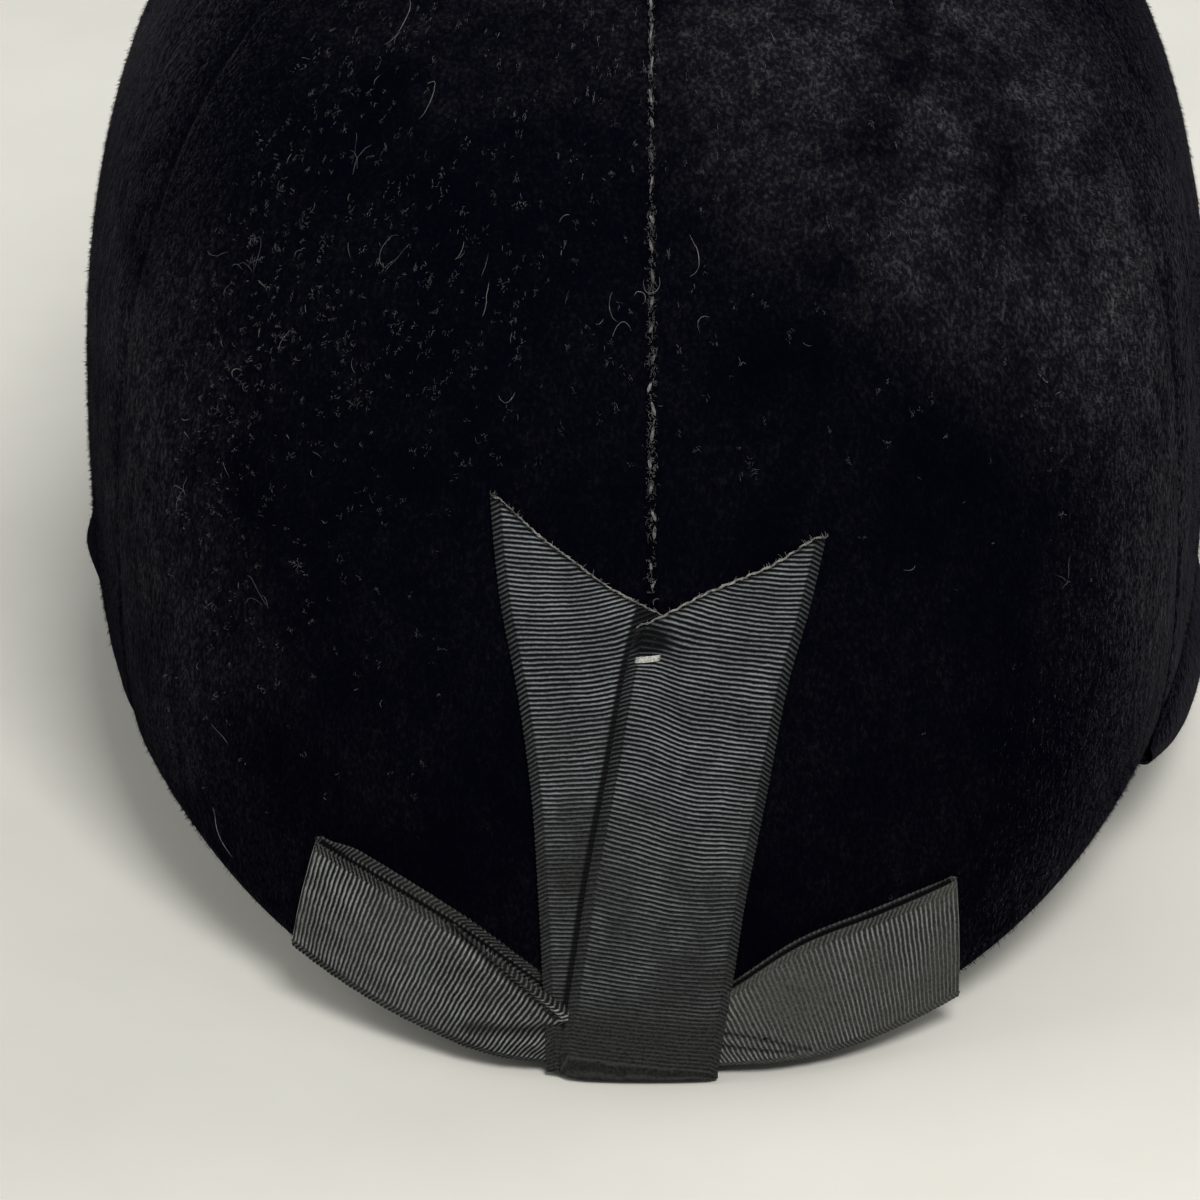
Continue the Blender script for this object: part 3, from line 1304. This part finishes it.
def fold_rows(across, heights, out):
    """The rows round the fold, from the run behind to the run in front."""
    rows = []
    for angle in np.linspace(0, np.pi, 12)[1:-1]:
        mix = (1 - math.cos(angle)) / 2
        level = heights[0] * (1 - mix) + heights[1] * mix
        bulge = out * FOLD_RADIUS * 0.7 * math.sin(angle)
        rows.append(on_back(across + bulge, level, LOOP_LIFT + 2 * FOLD_RADIUS * mix))
    return np.array(rows)


def build_loop(name, loop):
    flat, along = loop_places(loop)
    flat = leaning(loop, flat, along)
    across, height = flat[..., 0], flat[..., 1]
    free = ease(along, 2, 15)[:, None]
    lift = TUCKED_LIFT + (LOOP_LIFT - TUCKED_LIFT) * free
    (creases, front_gap), strength = creased(loop, flat), loop_strength(loop, flat)
    above = lift + RUNS_APART + (2 * FOLD_RADIUS - RUNS_APART) * free + creases
    ribs = rib_relief(along)
    front = on_back(across, height, above + ribs * strength)
    peep = loop["peep"] * ease(along, 0, 14) * (1 - 0.9 * ease(along, along[-1] - 7, along[-1]))
    behind_height = height + (ACROSS_RIBBON / RIBBON_WIDTH)[None, :] * peep[:, None]
    behind = on_back(across, behind_height, lift - 0.6 * ribs)
    out = np.sign(across[-1, 0])
    fold = fold_rows(across[-1], (behind_height[-1], height[-1]), out)
    grid = np.concatenate([behind, fold, front[::-1]])
    grid = with_edges(grid, grid_normals(grid))
    faces = grid_faces(*grid.shape[:2])[:, :: int(out)]

    turned = along[-1] + np.linspace(0.2, 2.2, len(fold))
    strip = np.concatenate([along, turned, 2 * along[-1] + 2.4 - along[::-1]])
    fold_strength = np.repeat(strength[-1:], len(fold), axis=0)
    strip_strength = np.concatenate([strength, fold_strength, strength[::-1]])
    past_top = ACROSS_RIBBON[None, :] - RIBBON_WIDTH + peep[:, None]
    fold_gap = np.full_like(fold_strength, NO_FOLD_NEAR)
    strip_gap = np.concatenate([0.95 + np.abs(past_top + 0.55), fold_gap, front_gap[::-1]])
    maps = {"cloth": ribbon_map(strip), "wear": wear_map(strip_strength, strip_gap)}
    piece = make_piece(f"ribbon_loop_{name}", grid, faces, loop_finish, [f"bow_loop_{name}"],
                       maps=maps)
    print("loop", name, "takes", round(strip[-1]), "mm of ribbon")


for name, loop in LOOPS.items():
    build_loop(name, loop)

# %% [markdown]
# ## Thread, stitches and lint
#
# A worn hat carries thread: the pale bar that holds the two tails, the stitches of the centre back
# seam, the frayed edge of the cut ribbon, and lint caught in the pile. All of them are the same
# thing in Blender, a thin tube along a line. One helper makes many such tubes as a single mesh.

# %% Strand helper


def thread_like(name, dark, light, millimetres):
    """A finish for threads, between two colours that change every few millimetres."""
    finish, tree, shader = new_finish(name, dark, 0.75, Sheen_Weight=0.2, Specular_IOR_Level=0.2)
    tones = ramp(tree, grain(tree, millimetres, 2), [(0.35, dark), (0.7, light)])
    join(tree, tones, shader.inputs["Base Color"])
    return finish


thread_finish = thread_like("grey thread", (0.26, 0.26, 0.24), (0.52, 0.52, 0.47), 0.35)
lint_finish = thread_like("lint", (0.018, 0.018, 0.021), (0.13, 0.13, 0.13), 2.2)
dust_finish = thread_like("dust", (0.008, 0.008, 0.011), (0.085, 0.082, 0.084), 2.8)
tuft_finish = thread_like("dust in tufts", (0.004, 0.004, 0.008), (0.060, 0.060, 0.070), 4.5)
stitch_finish = thread_like("seam thread", (0.02, 0.02, 0.022), (0.20, 0.195, 0.185), 1.4)
fray_finish = thread_like("frayed ribbon", (0.035, 0.035, 0.034), (0.24, 0.235, 0.215), 1.1)


def strands(name, lines, radii, finish, sides=4):
    """Many thin tubes as one piece. Each line is a list of places, each radius its half thickness."""
    points, faces, start = [], [], 0
    for line, radius in zip(lines, radii):
        line = np.asarray(line)
        slope = unit(np.gradient(line, axis=0))
        helper = np.where(np.abs(slope[:, 2:3]) < 0.9, np.array([[0.0, 0, 1]]), np.array([[1.0, 0, 0]]))
        first = unit(np.cross(slope, helper))
        second = np.cross(slope, first)
        ends = np.minimum(np.linspace(0, 1, len(line)), np.linspace(1, 0, len(line)))
        taper = np.minimum(1, 0.35 + 3 * ends)
        angle = np.linspace(0, 2 * np.pi, sides, endpoint=False)[None, :, None]
        ring = first[:, None] * np.cos(angle) + second[:, None] * np.sin(angle)
        points.append((line[:, None] + ring * radius * taper[:, None, None]).reshape(-1, 3))
        faces.append(grid_faces(len(line), sides, ring=True) + start)
        start += len(line) * sides
    return make_piece(name, np.concatenate(points), np.concatenate(faces), finish)


def curl(across, height, length, bend, direction, lift, count=9):
    """A bent fibre lying on the back of the hat."""
    step = length / (count - 1)
    angle = direction + chance.normal(0, 0.16, count).cumsum() + np.linspace(0, bend, count)
    aside = across + np.concatenate([[0], np.cumsum(np.cos(angle[:-1]))]) * step
    up = height + np.concatenate([[0], np.cumsum(np.sin(angle[:-1]))]) * step
    rise = lift * (0.4 + 0.6 * np.sin(np.pi * np.linspace(0, 1, count)))
    return on_back(aside, up, rise)


# %% [markdown]
# The bar on the tails is a few pale threads side by side, pulled down into the ribbon at both ends.

# %% Bar of thread
BAR = {"left": (2.6, 74.7), "right": (-1.4, 75.1), "threads": 5, "breadth": 0.72, "lift": 1.9}
share = np.linspace(0, 1, 9)
bar_lines = []
for offset in np.linspace(-0.5, 0.5, BAR["threads"]) * BAR["breadth"]:
    across, height = np.array([np.interp(share, (0, 1), ends) for ends in zip(BAR["left"], BAR["right"])])
    lift = BAR["lift"] + 0.3 * np.sin(np.pi * share) ** 0.4
    bar_lines.append(on_back(across + chance.normal(0, 0.05), height + offset, lift))
bar = strands("thread_bar", bar_lines, [0.12] * len(bar_lines), thread_finish, 6)
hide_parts("bow_stitch")
print("threads in the bar:", len(bar_lines))

# %% [markdown]
# The centre back seam is sewn by hand, with a stitch about every 3.6 mm. The thread lies low in the
# pile, so each stitch is a soft grey spot, and dust has gathered round it.

# %% Seam stitches
SEAM_START, SEAM_END, STITCH_APART = 84.5, 169, 3.6
seam_lines, seam_radii, fuzz_lines, fuzz_radii = [], [], [], []
for height in np.arange(SEAM_START, SEAM_END, STITCH_APART):
    start = height + chance.normal(0, 0.5)
    ups = start + np.linspace(0, chance.uniform(0.9, 2.2), 6)
    asides = chance.normal(0, 0.2) + chance.uniform(-0.4, 0.4) * np.linspace(-1, 1, 6)
    seam_lines.append(on_back(asides, ups, -0.25 + 0.45 * np.sin(np.pi * np.linspace(0, 1, 6))))
    seam_radii.append(chance.uniform(0.13, 0.26))
    for number in range(chance.integers(14, 60)):
        spot = (chance.normal(0, 0.45), start + chance.normal(0.9, 1.1))
        fuzz_lines.append(curl(*spot, chance.uniform(0.25, 0.9), chance.normal(0, 2.2),
                               chance.uniform(0, 6.3), chance.uniform(0.05, 0.3), 4))
        fuzz_radii.append(chance.uniform(0.03, 0.06))
strands("seam_stitches", seam_lines, seam_radii, stitch_finish)
strands("seam_dust", fuzz_lines, fuzz_radii, dust_finish, 3)
print("stitches in the seam:", len(seam_lines), "specks of dust:", len(fuzz_lines))

# %% [markdown]
# The ribbon's cut ends are frayed. A rough cord of loosened threads runs along each cut, with a few
# fibres standing off it, most of them at the tips.

# %% Frayed cuts
FRAY = {"cord": 5, "cord_radius": 0.115, "wave": 0.13, "fibres": 44, "fibre_radius": 0.035}
fray_lines, fray_radii = [], []
for flat, lift in ((left_flat, left_lift), (right_flat, right_lift)):
    rim_line, rim_lift = flat[-1], lift[-1]
    length = np.concatenate([[0], np.cumsum(np.linalg.norm(np.diff(rim_line, axis=0), axis=1))])
    even = np.linspace(0, length[-1], 110)
    across, height = (np.interp(even, length, rim_line[:, axis]) for axis in (0, 1))
    base = np.interp(even, length, rim_lift)
    for strand in range(FRAY["cord"]):
        phase = even * 2.6 + chance.uniform(0, 6.3)
        twist = FRAY["wave"] * np.sin(phase) + chance.normal(0, 0.05, len(even))
        turnover = FRAY["wave"] * np.cos(phase) + chance.normal(0, 0.05, len(even))
        fray_lines.append(on_back(across, height + 0.05 + twist, base + 0.05 + turnover))
        fray_radii.append(FRAY["cord_radius"])
    for number in range(FRAY["fibres"]):
        at = chance.beta(0.5, 0.9) * length[-1]
        across_at, height_at, lift_at = (
            float(np.interp(at, length, line)) for line in (rim_line[:, 0], rim_line[:, 1], rim_lift)
        )
        fray_lines.append(curl(across_at, height_at, chance.uniform(0.3, 1.1), chance.normal(0, 1.8),
                               chance.uniform(0, 3.1), lift_at, 5))
        fray_radii.append(FRAY["fibre_radius"])
strands("frayed_cuts", fray_lines, fray_radii, fray_finish)
print("frayed ends:", len(fray_lines))

# %% [markdown]
# Lint and stray hairs lie on the pile. Most of it is dust: tiny tufts of broken fibres, sunk into
# the pile and thickest on the upper left. Among them are short curls and a few longer wisps, and
# the hairs that catch the eye are placed one by one.

# %% Lint
HAIRS = [
    # across, height, length, bend, direction
    (32.9, 127.4, 4.6, 0.5, -1.65), (79.2, 33.0, 9.0, 0.6, -2.2), (73.4, 154.6, 8.0, -2.6, 3.1),
    (58.0, 151.0, 7.0, 3.6, 3.0), (25.2, 113.0, 4.0, 2.6, -1.2), (-74.5, 108.3, 1.6, 3.0, -0.7),
    (-76.8, 105.9, 1.4, -2.5, 0.6), (1.6, 128.0, 6.0, -3.0, -1.3), (6.6, 122.6, 5.0, 2.4, 0.2),
    (-7.9, 128.4, 7.0, -1.6, 2.6), (-0.5, 82.8, 2.0, 4.2, 0.3), (79.2, 107.5, 3.0, 2.4, 0.4),
    (4.0, 121.5, 5.0, -2.2, 1.0), (3.5, 126.0, 4.0, 3.0, 2.2),
]
LINT = {"tufts": 900, "curls": 85, "wisps": 6}


def lint_place():
    """A random place on the back, off the ribbon, more often on the left and high up."""
    while True:
        kind = chance.random()
        if kind < 0.25:
            across = chance.uniform(-92, 92)
        elif kind < 0.5:
            across = chance.normal(80, 9)
        else:
            across = chance.normal(44, 26)
        height = chance.normal(124, 34)
        off_ribbon = abs(across) > 34 or height > 102
        if abs(across) < 93 and 24 < height < 170 and off_ribbon:
            return across, height


lint_lines = [curl(a, h, length, bend, way, 0.9, 14) for a, h, length, bend, way in HAIRS]
lint_radii = [0.06] * len(lint_lines)
for number in range(LINT["curls"]):
    lint_lines.append(curl(*lint_place(), chance.gamma(1.6, 0.7) + 0.25, chance.normal(0, 1.4),
                           chance.uniform(0, 6.3), chance.uniform(0.35, 0.75), 6))
    lint_radii.append(chance.uniform(0.03, 0.05))
strands("lint", lint_lines, lint_radii, lint_finish, 3)

dust_lines, dust_radii = [], []
for number in range(LINT["tufts"]):
    middle, reach = np.array(lint_place()), chance.uniform(0.08, 0.42)
    for fibre in range(chance.integers(1, 9)):
        dust_lines.append(curl(*(middle + chance.normal(0, reach, 2)), chance.uniform(0.2, 0.8),
                               chance.normal(0, 1.5), chance.uniform(0, 6.3), chance.uniform(0.0, 0.85), 3))
        dust_radii.append(chance.uniform(0.03, 0.06))
for number in range(LINT["wisps"]):
    start = lint_place()
    for thread in range(3):
        spot = np.array(start) + chance.normal(0, 0.5, 2)
        dust_lines.append(curl(*spot, chance.uniform(2, 7), chance.normal(0, 1.4),
                               chance.normal(1.2, 0.8), chance.uniform(0.3, 0.6), 16))
        dust_radii.append(chance.uniform(0.03, 0.05))
strands("pile_dust", dust_lines, dust_radii, tuft_finish, 3)
print("curls of lint:", len(lint_lines), "fibres in tufts and wisps:", len(dust_lines))
